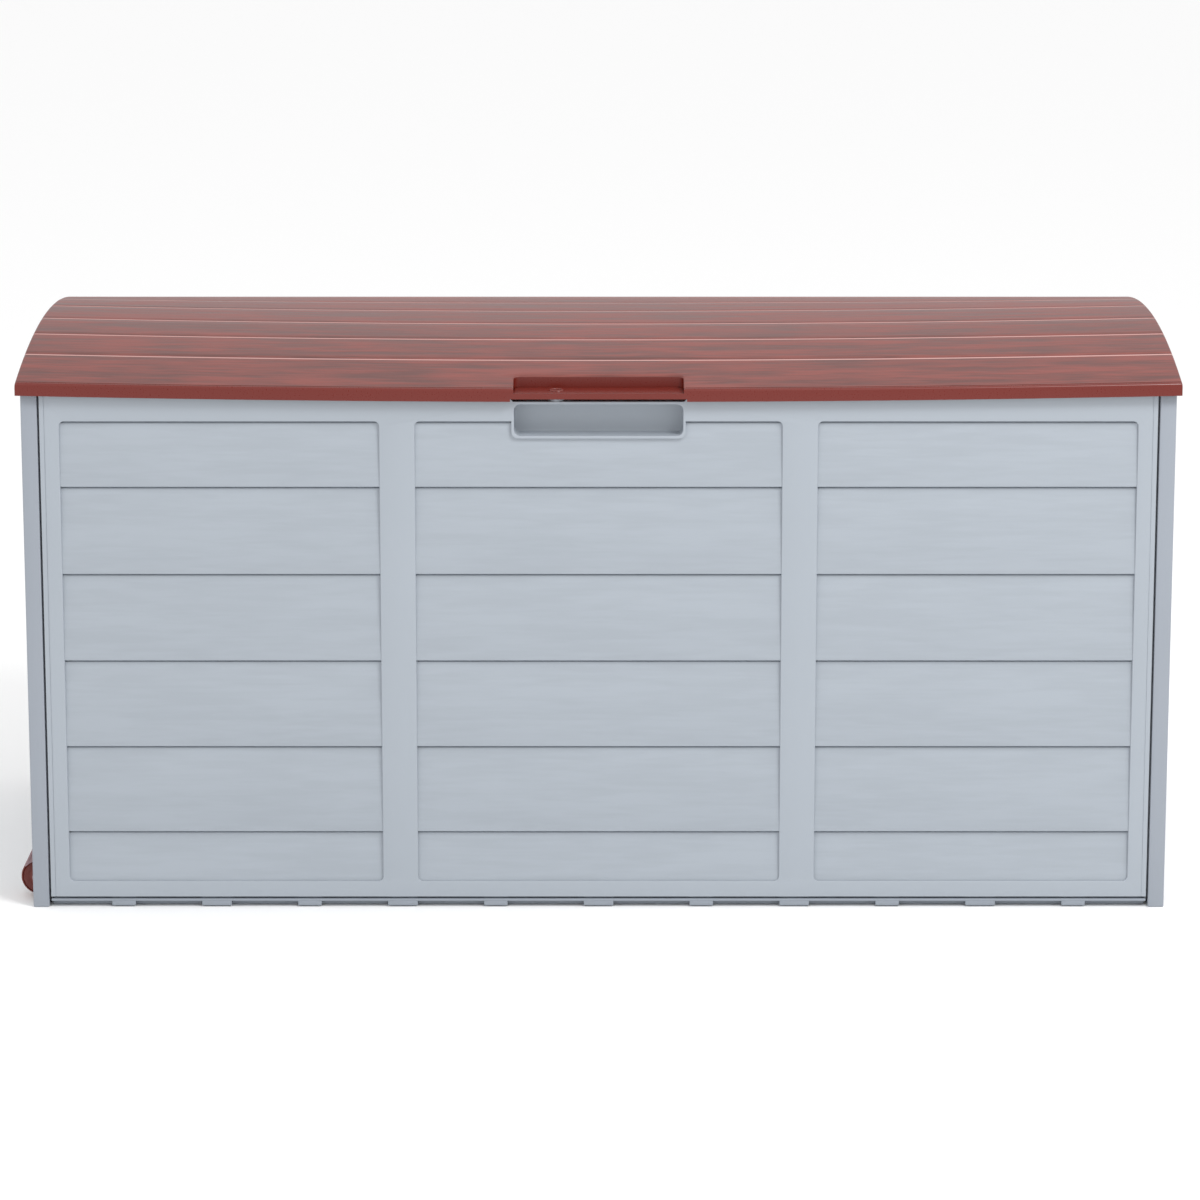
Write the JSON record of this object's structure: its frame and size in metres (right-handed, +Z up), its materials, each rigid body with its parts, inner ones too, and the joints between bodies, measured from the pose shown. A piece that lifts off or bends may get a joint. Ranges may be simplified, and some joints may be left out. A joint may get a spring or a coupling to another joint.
{
  "type": "deck storage box",
  "caption": "Resin deck storage box with clapboard panels, corner legs, a hinged barrel-top plank lid with a handle recess, and small tilt wheels at one end.",
  "frame": {"origin": "on the floor under the middle of the body, at the underside of the base panel's middle foot", "axes": "+X along the length (the wheels are at the -X end), -Y out of the front panel, +Z up"},
  "size_m": [1.1191, 0.5, 0.5479],
  "materials": {
    "panel_plastic": "cool grey moulded polypropylene, satin, with faint wood grain",
    "base_plastic": "cool grey moulded polypropylene, matt",
    "lid_plastic": "brick red moulded polypropylene, wood-grained planks and a glossy rim",
    "hinge_plastic": "brick red moulded nylon",
    "wheel_plastic": "dark red-brown moulded polypropylene",
    "bracket_plastic": "red-brown moulded polypropylene",
    "steel": "zinc-plated steel"
  },
  "bodies": {
    "box": {"base_panel": "base_plastic", "front_panel": "panel_plastic", "back_panel": "panel_plastic", "left_end_panel": "panel_plastic", "right_end_panel": "panel_plastic", "hinge_body_leaf_left": "hinge_plastic", "hinge_body_leaf_middle": "hinge_plastic", "hinge_body_leaf_right": "hinge_plastic", "hinge_pin_left": "steel", "hinge_pin_middle": "steel", "hinge_pin_right": "steel", "wheel_bracket_front": "bracket_plastic", "wheel_bracket_rear": "bracket_plastic", "axle_front": "steel", "axle_rear": "steel", "axle_clip_front": "steel", "axle_clip_rear": "steel", "corner_screws": "steel", "hinge_body_screws": "steel", "bracket_screws": "steel"},
    "lid": {"lid_shell": "lid_plastic", "hinge_lid_leaf_left": "hinge_plastic", "hinge_lid_leaf_middle": "hinge_plastic", "hinge_lid_leaf_right": "hinge_plastic", "hinge_lid_screws": "steel"},
    "front_wheel": {"wheel_front": "wheel_plastic"},
    "rear_wheel": {"wheel_rear": "wheel_plastic"}
  },
  "joints": [
    {"name": "lid_hinge", "type": "hinge", "parent": "box", "child": "lid", "pos_m": [0, 0.25, 0.505], "axis": [-1, 0, 0], "range_deg": [0, 100]},
    {"name": "front_wheel_spin", "type": "hinge", "parent": "box", "child": "front_wheel", "pos_m": [-0.547, -0.1975, 0.0223], "axis": [0, 1, 0], "continuous": true},
    {"name": "rear_wheel_spin", "type": "hinge", "parent": "box", "child": "rear_wheel", "pos_m": [-0.547, 0.1975, 0.0223], "axis": [0, 1, 0], "continuous": true}
  ]
}
